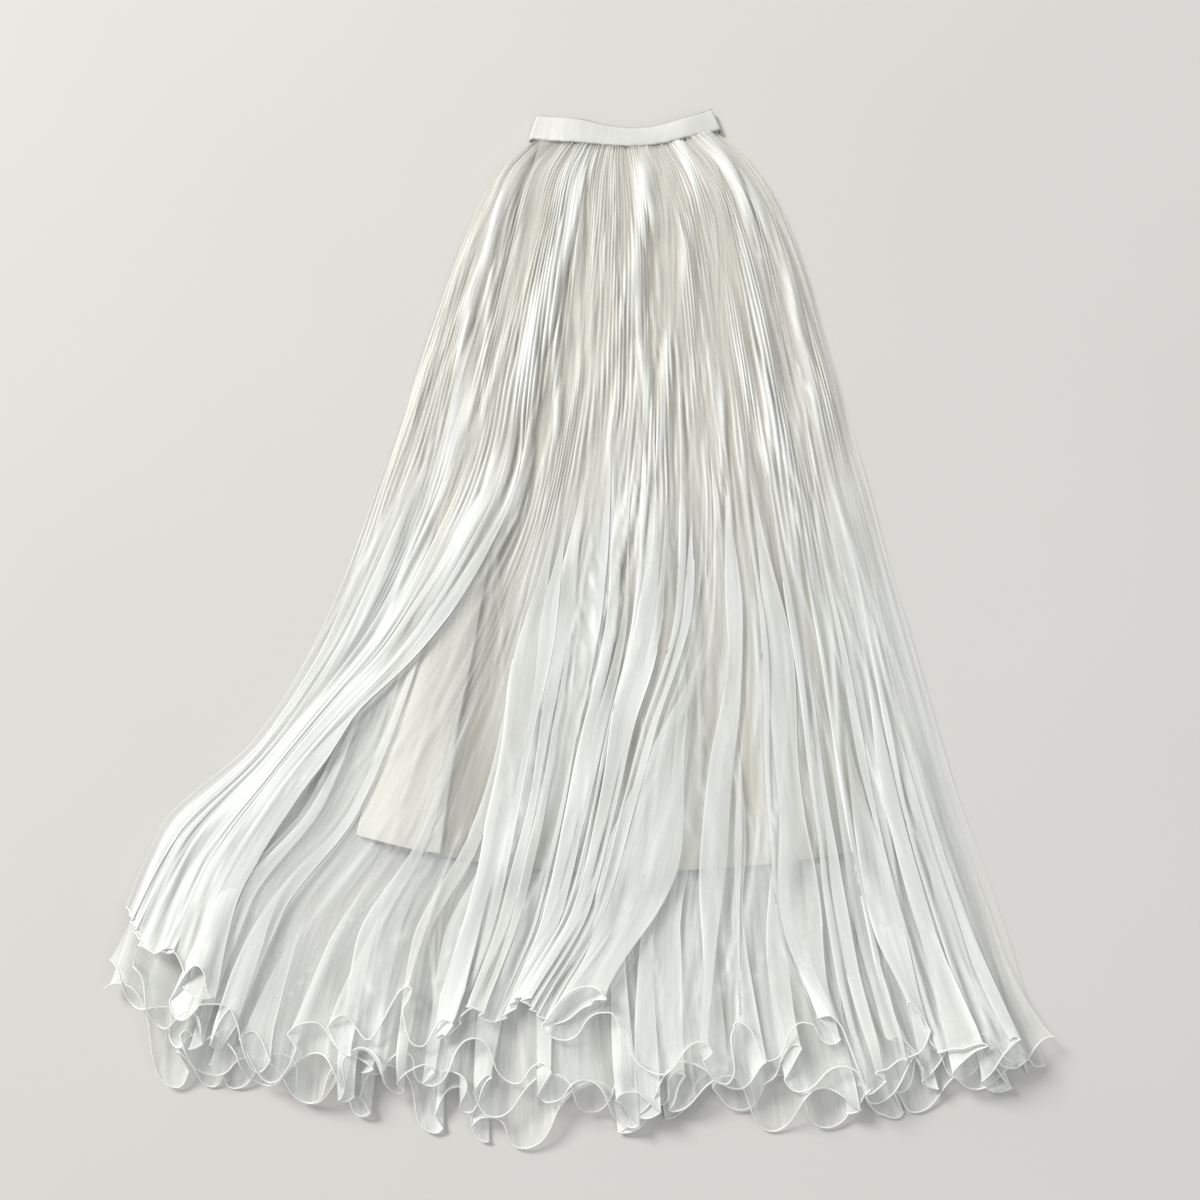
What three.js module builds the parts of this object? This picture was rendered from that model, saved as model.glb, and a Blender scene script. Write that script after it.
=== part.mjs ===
// Long pleated tulle skirt, laid flat on its back.
// Millimetres. +Z is up and +Y points to the waist. The origin is on the resting surface,
// in the middle of the skirt's footprint.
//
// From the surface up, the cloth lies in six layers: outer tulle, under tulle and lining of
// the back, then lining, under tulle and outer tulle of the front. Front and back panels meet
// at the side seams, and all six hang from one waistband that lies flat as a closed loop.

import * as THREE from 'three';

// Driving dimensions.
const wall = 1.3;             // thickness of every cloth wall
const seamGap = 0.3;          // clearance between neighbouring pieces
const hemGap = 1.8;           // clearance between the layers where their hems ruffle
const columns = 44;           // steps across a tulle panel, one fold line at each
const pleatDepth = 2.6;       // height of a pleat of the outer front
const seamRise = { left: 12, right: 24 };   // rise of the waist seam from the middle to an end
const seamRiseEnds = 250;     // drop at which the cloth no longer follows that curve
const bandHeight = 28;        // waistband, seam to top edge
const bandWall = 2.4;         // elastic with its satin cover
const bandOverhang = 1;       // band past the cloth at either end
const bandSteps = 22;         // steps along one side of the band
const bandEndSteps = 6;       // steps round one folded end
const ruffleFrom = 860;       // drop at which the hems begin to ruffle
const ruffleFull = 1060;      // drop at which the ruffles stand at full height
const hemLift = 1.2;          // hems carried clear of the surface by their rolled edge
const scallop = 12;           // how far a flute pushes the hem out
const rolledEdge = 2.2;       // thickness of a rolled hem
const rolledGap = 0.4;        // clearance between a panel and its rolled hem

// Rows of the laid skirt: the drop below the waist seam, and the reach of the cloth to either
// side of the middle.
const rows = [
  { drop: 0, left: 110, right: 110 },
  { drop: 40, left: 149, right: 155 },
  { drop: 110, left: 176, right: 186 },
  { drop: seamRiseEnds, left: 216, right: 221 },
  { drop: 440, left: 262, right: 260 },
  { drop: 620, left: 312, right: 296 },
  { drop: 760, left: 377, right: 326 },
  { drop: ruffleFrom, left: 466, right: 356 },
  { drop: ruffleFull, left: 506, right: 414 },
];
const looseFrom = 760;        // drop at which the layers begin to part, a row of the table

// Drop of each hem, at shares of the way across from the left side seam.
const hems = [
  { across: 0, outerFront: 880, underFront: 905, underBack: 915, outerBack: 925 },
  { across: 0.1, outerFront: 915, underFront: 955, underBack: 975, outerBack: 990 },
  { across: 0.3, outerFront: 945, underFront: 990, underBack: 1005, outerBack: 1025 },
  { across: 0.5, outerFront: 965, underFront: 1000, underBack: 1020, outerBack: 1043 },
  { across: 0.9, outerFront: 965, underFront: 985, underBack: 998, outerBack: 1012 },
  { across: 1, outerFront: 935, underFront: 948, underBack: 955, outerBack: 965 },
];
const hemRows = 3;            // steps from the start of the ruffles to a hem

// Height of each ruffle's flute, from the left side seam to the right.
const flutes = [16, 24, 19, 27, 20, 30, 22, 26, 18, 28, 20];
const fluteShape = [0, 0.6, 1, 0.6];   // share of that height at each column of a flute

// A-line lining: its reach to either side at the waist and at the hem.
const lining = {
  columns: 12,
  drops: [0, seamRiseEnds, looseFrom],
  waist: { left: 98, right: 98 },
  hem: { left: 269, right: 236 },
  hemDrop: { left: 778, middle: 814, right: 792 },
};

// Large folds swept into the outer front: where each starts and ends, as x across from the
// middle and the drop below the waist, with its width and height.
const folds = [
  { name: 'left sweep', fromX: -95, fromDrop: 380, toX: -430, toDrop: 845, width: 46, height: 11 },
  { name: 'left inner', fromX: -120, fromDrop: 430, toX: -205, toDrop: 850, width: 30, height: 6 },
  { name: 'centre sweep', fromX: 75, fromDrop: 560, toX: -190, toDrop: 955, width: 44, height: 13 },
  { name: 'middle', fromX: 5, fromDrop: 180, toX: -15, toDrop: 720, width: 26, height: 5 },
  { name: 'right inner', fromX: 55, fromDrop: 120, toX: 120, toDrop: 800, width: 30, height: 6 },
  { name: 'right sweep', fromX: 95, fromDrop: 330, toX: 205, toDrop: 900, width: 34, height: 9 },
  { name: 'far right', fromX: 150, fromDrop: 420, toX: 300, toDrop: 860, width: 30, height: 6 },
];

// Layers from the surface up. order counts the walls below a layer, and inset is the number
// of columns by which its side seam lies inside the outer one.
const layers = {
  outerBack: { order: 0, inset: 0 },
  underBack: { order: 1, inset: 1 },
  liningBack: { order: 2 },
  liningFront: { order: 3 },
  underFront: { order: 4, inset: 1, front: true },
  outerFront: { order: 5, inset: 0, front: true, pleated: true },
};
const thickness = 6 * wall + 5 * seamGap;

const materials = {
  tulle: { color: 0xe9e9e2, roughness: 0.75 },
  underTulle: { color: 0xe1e4de, roughness: 0.75 },
  lining: { color: 0xe6dfd2, roughness: 0.45 },
  satin: { color: 0xeae7df, roughness: 0.4 },
  hemEdge: { color: 0xf3f1ea, roughness: 0.35 },
};

function share(value, from, to) {
  return THREE.MathUtils.clamp((value - from) / (to - from), 0, 1);
}

// Value of a column of a table at a place between two of its rows.
function lookUp(table, key, place, column) {
  let k = 0;
  while (k < table.length - 2 && place > table[k + 1][key]) {
    k += 1;
  }
  const t = share(place, table[k][key], table[k + 1][key]);
  return THREE.MathUtils.lerp(table[k][column], table[k + 1][column], t);
}

// Height of the waist seam at a place from -1, its left end, to 1, its right end.
function seamHeight(side) {
  const rise = side < 0 ? seamRise.left : seamRise.right;
  return rise * THREE.MathUtils.clamp(side, -1, 1) ** 2;
}

// What is left of the waist seam's curve at a drop, at a share of the way across.
function seamCurve(across, drop) {
  return seamHeight(2 * across - 1) * (1 - share(drop, 0, seamRiseEnds));
}

function placeOnSkirt(across, drop) {
  const left = lookUp(rows, 'drop', drop, 'left');
  const right = lookUp(rows, 'drop', drop, 'right');
  const x = THREE.MathUtils.lerp(-left, right, across);
  return { x, y: seamCurve(across, drop) - drop };
}

function fluteShare(column) {
  return fluteShape[column % fluteShape.length];
}

// Lift of all layers together where the hems stand up in flutes.
function ruffleLift(column, drop) {
  const flute = flutes[Math.min(Math.floor(column / fluteShape.length), flutes.length - 1)];
  const grown = share(drop, ruffleFrom, ruffleFull);
  return grown * (hemLift + flute * fluteShare(column));
}

// Number of walls under a layer at a column: the front comes down to the back at the sides.
function wallsBelow(layer, column) {
  if (!layer.front) {
    return layer.order;
  }
  const fromSide = Math.min(column, columns - column);
  return Math.min(layer.order, 1 + 2 * fromSide - layer.inset);
}

function foldLift(x, drop) {
  let lift = 0;
  for (const fold of folds) {
    const alongX = fold.toX - fold.fromX;
    const alongDrop = fold.toDrop - fold.fromDrop;
    const length = Math.hypot(alongX, alongDrop);
    const t = ((x - fold.fromX) * alongX + (drop - fold.fromDrop) * alongDrop) / length ** 2;
    const off = Math.abs((x - fold.fromX) * alongDrop - (drop - fold.fromDrop) * alongX) / length;
    if (t > 0 && t < 1 && off < fold.width) {
      lift += fold.height * (1 - (off / fold.width) ** 2) ** 2 * Math.sin(Math.PI * t) ** 0.5;
    }
  }
  return lift;
}

// Pleats and folds of the outer front, which fade out on the last column at either side.
function pleatLift(column, x, drop) {
  if (column < 1 || column > columns - 1) {
    return 0;
  }
  return (column % 2) * pleatDepth + foldLift(x, drop);
}

function levelOf(layer, column, x, drop) {
  const gap = THREE.MathUtils.lerp(seamGap, hemGap, share(drop, looseFrom, ruffleFrom));
  const below = wallsBelow(layer, column) * (wall + gap);
  const pleats = layer.pleated ? pleatLift(column, x, drop) : 0;
  return below + pleats + ruffleLift(column, drop);
}

function hemDrop(hem, column) {
  return lookUp(hems, 'across', column / columns, hem) + scallop * fluteShare(column);
}

// Closed wall through a grid of under-side points, of the cloth's thickness upwards.
function sheetGeometry(grid) {
  const across = grid[0].length;
  const down = grid.length;
  const positions = [];
  for (const lift of [0, wall]) {
    for (const row of grid) {
      for (const p of row) {
        positions.push(p.x, p.y, p.z + lift);
      }
    }
  }
  const under = (j, i) => j * across + i;
  const over = (j, i) => (down + j) * across + i;
  const index = [];
  for (let j = 0; j < down - 1; j += 1) {
    for (let i = 0; i < across - 1; i += 1) {
      index.push(over(j, i), over(j + 1, i), over(j + 1, i + 1));
      index.push(over(j, i), over(j + 1, i + 1), over(j, i + 1));
      index.push(under(j, i), under(j + 1, i + 1), under(j + 1, i));
      index.push(under(j, i), under(j, i + 1), under(j + 1, i + 1));
    }
  }
  const rim = [];
  for (let j = 0; j < down - 1; j += 1) {
    rim.push([j, 0]);
  }
  for (let i = 0; i < across - 1; i += 1) {
    rim.push([down - 1, i]);
  }
  for (let j = down - 1; j > 0; j -= 1) {
    rim.push([j, across - 1]);
  }
  for (let i = across - 1; i > 0; i -= 1) {
    rim.push([0, i]);
  }
  rim.forEach((p, k) => {
    const q = rim[(k + 1) % rim.length];
    index.push(over(...p), under(...p), under(...q));
    index.push(over(...p), under(...q), over(...q));
  });
  return indexedGeometry(positions, index);
}

function indexedGeometry(positions, index) {
  const geometry = new THREE.BufferGeometry();
  geometry.setAttribute('position', new THREE.Float32BufferAttribute(positions, 3));
  geometry.setIndex(index);
  geometry.computeVertexNormals();
  return geometry;
}

// Drops of a panel's points down one column: the table's rows, then even steps to the hem.
function columnDrops(hem) {
  const fixed = rows.map((row) => row.drop).filter((drop) => drop <= ruffleFrom);
  for (let k = 1; k <= hemRows; k += 1) {
    fixed.push(THREE.MathUtils.lerp(ruffleFrom, hem, k / hemRows));
  }
  return fixed;
}

function tulleGrid(name) {
  const layer = layers[name];
  const lines = [];
  for (let column = layer.inset; column <= columns - layer.inset; column += 1) {
    const line = columnDrops(hemDrop(name, column)).map((drop) => {
      const { x, y } = placeOnSkirt(column / columns, drop);
      return new THREE.Vector3(x, y, levelOf(layer, column, x, drop));
    });
    lines.push(line);
  }
  return lines[0].map((_, j) => lines.map((line) => line[j]));
}

function liningGrid(name) {
  const layer = layers[name];
  const { left, middle, right } = lining.hemDrop;
  const grid = [];
  for (let j = 0; j <= lining.drops.length; j += 1) {
    const row = [];
    for (let i = 0; i <= lining.columns; i += 1) {
      const side = (2 * i) / lining.columns - 1;
      const corner = side < 0 ? left : right;
      const hem = THREE.MathUtils.lerp(middle, corner, side ** 2);
      const drop = j < lining.drops.length ? lining.drops[j] : hem;
      const reachLeft = THREE.MathUtils.lerp(lining.waist.left, lining.hem.left, drop / hem);
      const reachRight = THREE.MathUtils.lerp(lining.waist.right, lining.hem.right, drop / hem);
      const x = THREE.MathUtils.lerp(-reachLeft, reachRight, i / lining.columns);
      const wide = lookUp(rows, 'drop', drop, 'left') + lookUp(rows, 'drop', drop, 'right');
      const across = (x + lookUp(rows, 'drop', drop, 'left')) / wide;
      const y = seamCurve(across, drop) - drop;
      row.push(new THREE.Vector3(x, y, levelOf(layer, columns / 2, x, Math.min(drop, ruffleFrom))));
    }
    grid.push(row);
  }
  return grid;
}

// Rolled edge: a square bead that runs just past a panel's hem, at mid wall.
function rolledHemGeometry(panelGrid) {
  const hem = panelGrid[panelGrid.length - 1];
  const half = rolledEdge / 2;
  const positions = [];
  for (const p of hem) {
    const middle = p.z + wall / 2;
    const near = p.y - rolledGap;
    const far = near - rolledEdge;
    positions.push(p.x, near, middle + half, p.x, near, middle - half);
    positions.push(p.x, far, middle - half, p.x, far, middle + half);
  }
  const index = [];
  const last = 4 * (hem.length - 1);
  for (let k = 0; k < last; k += 4) {
    for (let side = 0; side < 4; side += 1) {
      const next = (side + 1) % 4;
      index.push(k + side, k + 4 + next, k + next);
      index.push(k + side, k + 4 + side, k + 4 + next);
    }
  }
  index.push(0, 2, 3, 0, 1, 2);
  index.push(last, last + 2, last + 1, last, last + 3, last + 2);
  return indexedGeometry(positions, index);
}

// One turn of the flattened band, seen along its height: x, z and the outward direction.
function bandLoop() {
  const radius = thickness / 2;
  const straight = lookUp(rows, 'drop', 0, 'left') + bandOverhang - radius;
  const loop = [];
  for (const side of [1, -1]) {
    for (let k = 0; k < bandSteps; k += 1) {
      const x = side * THREE.MathUtils.lerp(-straight, straight, k / bandSteps);
      loop.push({ x, z: radius, outX: 0, outZ: side });
    }
    for (let k = 0; k < bandEndSteps; k += 1) {
      const turn = (Math.PI * k) / bandEndSteps;
      loop.push({ x: side * straight, z: radius, outX: side * Math.sin(turn), outZ: side * Math.cos(turn) });
    }
  }
  return loop.map((p) => ({ ...p, outer: radius, inner: radius - bandWall }));
}

function waistbandGeometry() {
  const loop = bandLoop();
  const halfWaist = lookUp(rows, 'drop', 0, 'left');
  const positions = [];
  for (const p of loop) {
    for (const [reach, lift] of [[p.outer, bandHeight], [p.outer, 0], [p.inner, 0], [p.inner, bandHeight]]) {
      const x = p.x + p.outX * reach;
      const seam = seamHeight(x / halfWaist) + seamGap;
      positions.push(x, seam + lift, p.z + p.outZ * reach);
    }
  }
  const index = [];
  loop.forEach((_, k) => {
    const here = 4 * k;
    const there = 4 * ((k + 1) % loop.length);
    for (let side = 0; side < 4; side += 1) {
      const next = (side + 1) % 4;
      index.push(here + side, here + next, there + next);
      index.push(here + side, there + next, there + side);
    }
  });
  return indexedGeometry(positions, index);
}

function piece(name, geometry, look) {
  const material = new THREE.MeshStandardMaterial({ ...materials[look], metalness: 0 });
  material.side = THREE.DoubleSide;
  const mesh = new THREE.Mesh(geometry, material);
  mesh.name = name;
  return mesh;
}

const skirt = new THREE.Group();
skirt.add(piece('waistband', waistbandGeometry(), 'satin'));

const tullePanels = [
  { node: 'outer_back', layer: 'outerBack', look: 'tulle' },
  { node: 'under_back', layer: 'underBack', look: 'underTulle' },
  { node: 'under_front', layer: 'underFront', look: 'underTulle' },
  { node: 'outer_front', layer: 'outerFront', look: 'tulle' },
];
for (const panel of tullePanels) {
  const grid = tulleGrid(panel.layer);
  skirt.add(piece(panel.node, sheetGeometry(grid), panel.look));
  skirt.add(piece(`hem_${panel.node}`, rolledHemGeometry(grid), 'hemEdge'));
}
skirt.add(piece('lining_back', sheetGeometry(liningGrid('liningBack')), 'lining'));
skirt.add(piece('lining_front', sheetGeometry(liningGrid('liningFront')), 'lining'));

// Moves the origin from the middle of the waist seam to the middle of the footprint.
const footprint = new THREE.Box3().setFromObject(skirt).getCenter(new THREE.Vector3());
skirt.position.set(-footprint.x, -footprint.y, 0);

export default skirt;
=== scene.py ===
"""Looks of the long pleated tulle skirt, laid flat on its back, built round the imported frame.

Shapes are worked out in skirt coordinates, in millimetres: x across from the middle of the
waistband, drop down from the waist seam, z up from the surface. to_frame() turns them into
the frame's metres.
"""
import math

import bpy
import numpy as np
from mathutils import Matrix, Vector


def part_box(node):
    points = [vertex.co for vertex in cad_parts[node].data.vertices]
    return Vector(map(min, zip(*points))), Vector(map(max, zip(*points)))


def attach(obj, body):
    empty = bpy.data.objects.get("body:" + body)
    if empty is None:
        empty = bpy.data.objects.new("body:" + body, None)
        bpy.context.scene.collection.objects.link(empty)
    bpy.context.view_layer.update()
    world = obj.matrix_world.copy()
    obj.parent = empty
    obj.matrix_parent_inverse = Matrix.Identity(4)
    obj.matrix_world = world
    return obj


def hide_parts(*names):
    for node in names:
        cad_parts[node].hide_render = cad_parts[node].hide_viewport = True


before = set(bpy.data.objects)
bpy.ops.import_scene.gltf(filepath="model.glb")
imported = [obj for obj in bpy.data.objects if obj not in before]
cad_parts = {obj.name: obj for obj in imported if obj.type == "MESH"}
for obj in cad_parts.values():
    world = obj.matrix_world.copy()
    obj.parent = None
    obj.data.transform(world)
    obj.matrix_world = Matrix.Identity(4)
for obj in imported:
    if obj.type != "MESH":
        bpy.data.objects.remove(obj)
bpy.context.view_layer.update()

# ---- sizes and places
MM = 0.001
SEAM_RISE_LEFT = 12  # rise of the waist seam from its middle to either end
SEAM_RISE_RIGHT = 24
SEAM_RISE_ENDS = 250  # drop at which the cloth no longer follows the seam's curve
HALF_WAIST = 110

band_low, band_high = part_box("waistband")
_, back_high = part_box("outer_back")
MID_X = (band_low[0] + band_high[0]) / 2
SEAM_Y = back_high[1] - SEAM_RISE_RIGHT * MM

OUTLINE_DROP = (0, 40, 110, 250, 440, 620, 760, 860, 1060)
OUTLINE_LEFT = (110, 147, 175, 216, 262, 312, 377, 464, 508)
OUTLINE_RIGHT = (110, 151, 184, 221, 259, 296, 326, 354, 402)


# ---- small maths
def smooth(t):
    t = np.clip(t, 0, 1)
    return t * t * (3 - 2 * t)


def ramp(value, start, end):
    return np.clip((value - start) / (end - start), 0, 1)


def ease(value, start, end):
    return smooth(ramp(value, start, end))


def moving_mean(rows, half):
    """Each value's mean with its neighbours along a row, half of them on either side."""
    padded = np.pad(rows, ((0, 0), (half, half)), mode="edge")
    window = np.ones(2 * half + 1) / (2 * half + 1)
    return np.stack([np.convolve(row, window, mode="valid") for row in padded])


def curve_through(value, places, heights):
    """Smooth curve through a short table, with no overshoot between level rows."""
    places = np.asarray(places, float)
    heights = np.asarray(heights, float)
    slopes = np.diff(heights) / np.diff(places)
    tangents = np.empty(len(places))
    tangents[0], tangents[-1] = slopes[0], slopes[-1]
    same_way = slopes[:-1] * slopes[1:] > 0
    total = np.where(same_way, slopes[:-1] + slopes[1:], 1)
    tangents[1:-1] = np.where(same_way, 2 * slopes[:-1] * slopes[1:] / total, 0)
    k = np.clip(np.searchsorted(places, value, side="right") - 1, 0, len(places) - 2)
    width = places[k + 1] - places[k]
    t = np.clip((value - places[k]) / width, 0, 1)
    return (heights[k] * (1 + 2 * t) * (1 - t) ** 2 + heights[k + 1] * t * t * (3 - 2 * t)
            + width * (tangents[k] * t * (1 - t) ** 2 - tangents[k + 1] * t * t * (1 - t)))


def reach(drop, inset):
    """Reach of the cloth to the left and right of the band's middle."""
    return [curve_through(drop, OUTLINE_DROP, side) - inset for side in (OUTLINE_LEFT, OUTLINE_RIGHT)]


def seam_rise(side):
    """Height of the waist seam from -1, its left end, to 1, its right end."""
    side = np.clip(side, -1, 1)
    return np.where(side < 0, SEAM_RISE_LEFT, SEAM_RISE_RIGHT) * side ** 2


def to_frame(x, drop, z, across=None):
    """Points of the frame, in metres, for skirt coordinates in millimetres."""
    if across is None:
        rise = 0
    else:
        rise = seam_rise(2 * across - 1) * (1 - ramp(drop, 0, SEAM_RISE_ENDS))
    return np.stack([MID_X + x * MM, SEAM_Y + (rise - drop) * MM, z * MM], axis=-1)


# ---- mesh helpers
def new_object(name, data):
    thing = bpy.data.objects.new(name, data)
    bpy.context.scene.collection.objects.link(thing)
    return thing


def mesh_object(name, points, faces, uvs=None, values=None):
    """Mesh from arrays: uvs and values hold one row for each point."""
    mesh = bpy.data.meshes.new(name)
    faces = np.asarray(faces, np.int32)
    mesh.vertices.add(len(points))
    mesh.vertices.foreach_set("co", np.asarray(points, np.float32).ravel())
    mesh.loops.add(faces.size)
    mesh.loops.foreach_set("vertex_index", faces.ravel())
    mesh.polygons.add(len(faces))
    mesh.polygons.foreach_set("loop_start", np.arange(0, faces.size, faces.shape[1], dtype=np.int32))
    mesh.update(calc_edges=True)
    mesh.polygons.foreach_set("use_smooth", np.ones(len(faces), bool))
    if uvs is not None:
        layer = mesh.uv_layers.new(name="cloth")
        layer.data.foreach_set("uv", np.asarray(uvs, np.float32)[faces.ravel()].ravel())
    for key, column in (values or {}).items():
        attribute = mesh.attributes.new(key, "FLOAT", "POINT")
        attribute.data.foreach_set("value", np.asarray(column, np.float32).ravel())
    mesh.validate()
    return new_object(name, mesh)


def grid_faces(rows, columns, closed=False):
    j = np.arange(rows - 1)[:, None]
    i = np.arange(columns if closed else columns - 1)[None, :]
    here = j * columns + i
    there = j * columns + (i + 1) % columns
    return np.stack([here, here + columns, there + columns, there], axis=-1).reshape(-1, 4)


def rounded(path, parts):
    """Path with so many parts to each step, on a smooth curve through its points."""
    before, after = path[:-1], path[1:]
    first = np.concatenate([path[:1], path[:-2]])
    last = np.concatenate([path[2:], path[-1:]])
    t = (np.arange(parts) / parts)[None, :, None]
    before, after, first, last = (v[:, None, :] for v in (before, after, first, last))
    curve = before + 0.5 * t * (after - first + t * (
        2 * first - 5 * before + 4 * after - last + t * (3 * (before - after) + last - first)))
    return np.concatenate([curve.reshape(-1, 3), path[-1:]])


def tube(path, radius, sides=6):
    """Round cord along a path, its section carried along without twist."""
    steps = np.gradient(path, axis=0)
    steps /= np.linalg.norm(steps, axis=1)[:, None] + 1e-12
    normal = np.cross(steps[0], (0.0, 0.0, 1.0))
    rings = []
    for point, step in zip(path, steps):
        normal = normal - step * np.dot(normal, step)
        normal /= np.linalg.norm(normal) + 1e-12
        other = np.cross(step, normal)
        turn = np.linspace(0, 2 * math.pi, sides, endpoint=False)[:, None]
        rings.append(point + radius * (np.cos(turn) * normal + np.sin(turn) * other))
    points = np.concatenate(rings)
    faces = grid_faces(len(path), sides, closed=True)[:, ::-1]
    return points, faces


# ---- what the cloth lies on
class Pile:
    """Height of the cloth laid so far, kept on a coarse grid of x and drop."""

    CELL = 6  # size of a cell
    LOW = (-640, -60)  # x and drop of the grid's first corner
    CELLS = (214, 210)
    SOFTENED = 3  # times that the heights are evened out

    def __init__(self):
        self.top = np.zeros(self.CELLS)
        self.soft = np.zeros(self.CELLS)

    def places(self, x, drop):
        return (x - self.LOW[0]) / self.CELL, (drop - self.LOW[1]) / self.CELL

    def height(self, x, drop):
        u, v = self.places(x, drop)
        inside = 1.001
        u = np.clip(u, 0, self.CELLS[0] - inside)
        v = np.clip(v, 0, self.CELLS[1] - inside)
        i, j = u.astype(int), v.astype(int)
        s, t = u - i, v - j
        z = self.soft
        return ((z[i, j] * (1 - s) + z[i + 1, j] * s) * (1 - t)
                + (z[i, j + 1] * (1 - s) + z[i + 1, j + 1] * s) * t)

    def add(self, x, drop, z):
        u, v = self.places(x, drop)
        i = np.clip(np.rint(u).astype(int), 1, self.CELLS[0] - 2)
        j = np.clip(np.rint(v).astype(int), 1, self.CELLS[1] - 2)
        np.maximum.at(self.top, (i.ravel(), j.ravel()), z.ravel())
        spread = self.top.copy()
        for axis in (0, 1):
            spread = np.maximum(spread, np.maximum(np.roll(spread, 1, axis), np.roll(spread, -1, axis)))
        for _ in range(self.SOFTENED):
            for axis in (0, 1):
                spread = (np.roll(spread, 1, axis) + 2 * spread + np.roll(spread, -1, axis)) / 4
        self.soft = spread


# ---- folds
# Where the laid front is pushed aside: x at these drops of six of its pleat lines, by their
# place across the panel. Between them the cloth is squeezed or stretched.
SWEPT_DROP = (300, 380, 440, 500, 560, 620, 680, 760, 860, 960, 1060)
SWEPT_X = {
    0.1: (-183, -198, -212, -228, -248, -272, -304, -356, -432, -468, -480),
    0.29: (-96, -103, -117, -146, -181, -225, -284, -346, -396, -414, -424),
    0.33: (-77, -84, -95, -114, -140, -170, -207, -262, -326, -352, -366),
    0.4: (-45, -56, -68, -81, -93, -103, -113, -126, -148, -176, -190),
    0.66: (75, 79, 82, 81, 76, 60, 38, 18, -12, -78, -112),
    0.76: (121, 128, 134, 140, 146, 150, 152, 156, 158, 172, 188),
}


def laps_of(*rows):
    """Laps, with their first three values as shares of the panel and the way that they face."""
    return [(place / 1000, lean / 1000, half / 1000, start, full, width, abs(thick), np.sign(thick))
            for place, lean, half, start, full, width, thick in rows]


def folds_of(*rows):
    return [(place / 1000, lean / 1000, *rest) for place, lean, *rest in rows]


# Lapped folds, where the cloth doubles back. In thousandths of the panel's width: place across,
# how much that changes in a metre of drop, half the cloth that it takes. Then drop where it
# starts and where it is full, how far it laps there, and thickness, negative where its upper
# edge faces right.
LAPS_OUTER_FRONT = laps_of(
    (30, 50, 8, 520, 820, 14, 1.2), (62, 20, 9, 400, 760, 20, -1.4), (100, -100, 10, 300, 700, 22, 1.5),
    (138, -60, 9, 430, 720, 20, 1.4), (170, 40, 10, 330, 640, 24, 1.5),
    (204, -40, 8, 460, 700, 18, -1.4), (236, -80, 9, 350, 620, 22, 1.5),
    (262, 20, 8, 280, 600, 16, 1.6), (288, 0, 14, 330, 640, 40, -1.9), (308, 50, 7, 690, 900, 22, 1.1),
    (326, 20, 8, 790, 930, 34, -1.1), (342, 100, 5, 740, 900, 16, 1.1),
    (360, -60, 8, 800, 960, 38, -1), (376, 50, 6, 710, 900, 20, 1),
    (394, 20, 10, 395, 640, 30, 1.4), (412, 40, 8, 400, 560, 16, -1.2), (430, 50, 9, 330, 560, 20, 1.4),
    (446, 80, 7, 470, 780, 16, 1.2), (468, 130, 7, 300, 500, 10, -1.3),
    (492, 120, 10, 360, 560, 20, 1.7), (516, 100, 8, 380, 760, 18, -1.4),
    (540, 60, 6, 280, 460, 9, 1.3), (566, 50, 10, 350, 620, 26, 1.7), (590, -60, 6, 390, 640, 12, -1.4),
    (612, 60, 6, 300, 500, 9, 1.3), (640, -80, 6, 420, 560, 12, -1.3), (664, 0, 15, 540, 900, 74, 1.7),
    (696, 80, 9, 360, 560, 24, 1.7), (716, -40, 6, 560, 820, 12, -1.3), (736, 100, 5, 330, 480, 8, 1.2),
    (760, -50, 11, 330, 700, 38, -1.9), (786, 100, 6, 300, 520, 10, 1.5),
    (812, -60, 7, 470, 820, 16, -1.3), (836, 120, 6, 360, 640, 10, 1.4),
    (862, 50, 10, 600, 880, 36, 1.3), (888, -100, 6, 340, 600, 11, -1.4),
    (914, 80, 9, 520, 840, 28, 1.2), (940, -60, 6, 420, 720, 10, 1.2), (966, 0, 7, 560, 860, 18, -1.2),
)
LAPS_UNDER_FRONT = laps_of(
    (80, 50, 10, 520, 860, 24, 1.2), (160, -50, 10, 420, 820, 22, -1.2),
    (230, 80, 10, 560, 900, 26, 1.2), (310, 20, 9, 460, 760, 18, 1.1),
    (380, -60, 11, 500, 860, 28, -1.3), (452, 40, 9, 420, 780, 18, 1.1),
    (530, 80, 10, 560, 900, 24, -1.2), (610, -50, 10, 450, 820, 24, 1.2),
    (680, 50, 9, 520, 860, 20, -1.2), (755, -30, 10, 430, 800, 22, 1.2),
    (830, 60, 10, 540, 900, 26, -1.2), (905, -40, 10, 480, 840, 22, 1.2),
)
LAPS_BACK = laps_of(
    (70, 40, 10, 420, 800, 22, 1.1), (170, -60, 12, 300, 760, 28, -1.2),
    (260, 50, 10, 480, 860, 24, 1.1), (350, 20, 10, 360, 740, 20, -1.1),
    (430, -40, 11, 430, 820, 30, 1.2), (520, 60, 10, 380, 700, 22, -1.1),
    (600, 30, 12, 500, 880, 34, -1.2), (690, -50, 10, 340, 720, 22, 1.1),
    (780, 40, 10, 460, 820, 26, -1.1), (860, -30, 10, 400, 780, 20, 1.1),
    (940, 20, 10, 520, 880, 24, -1.1),
)

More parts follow.
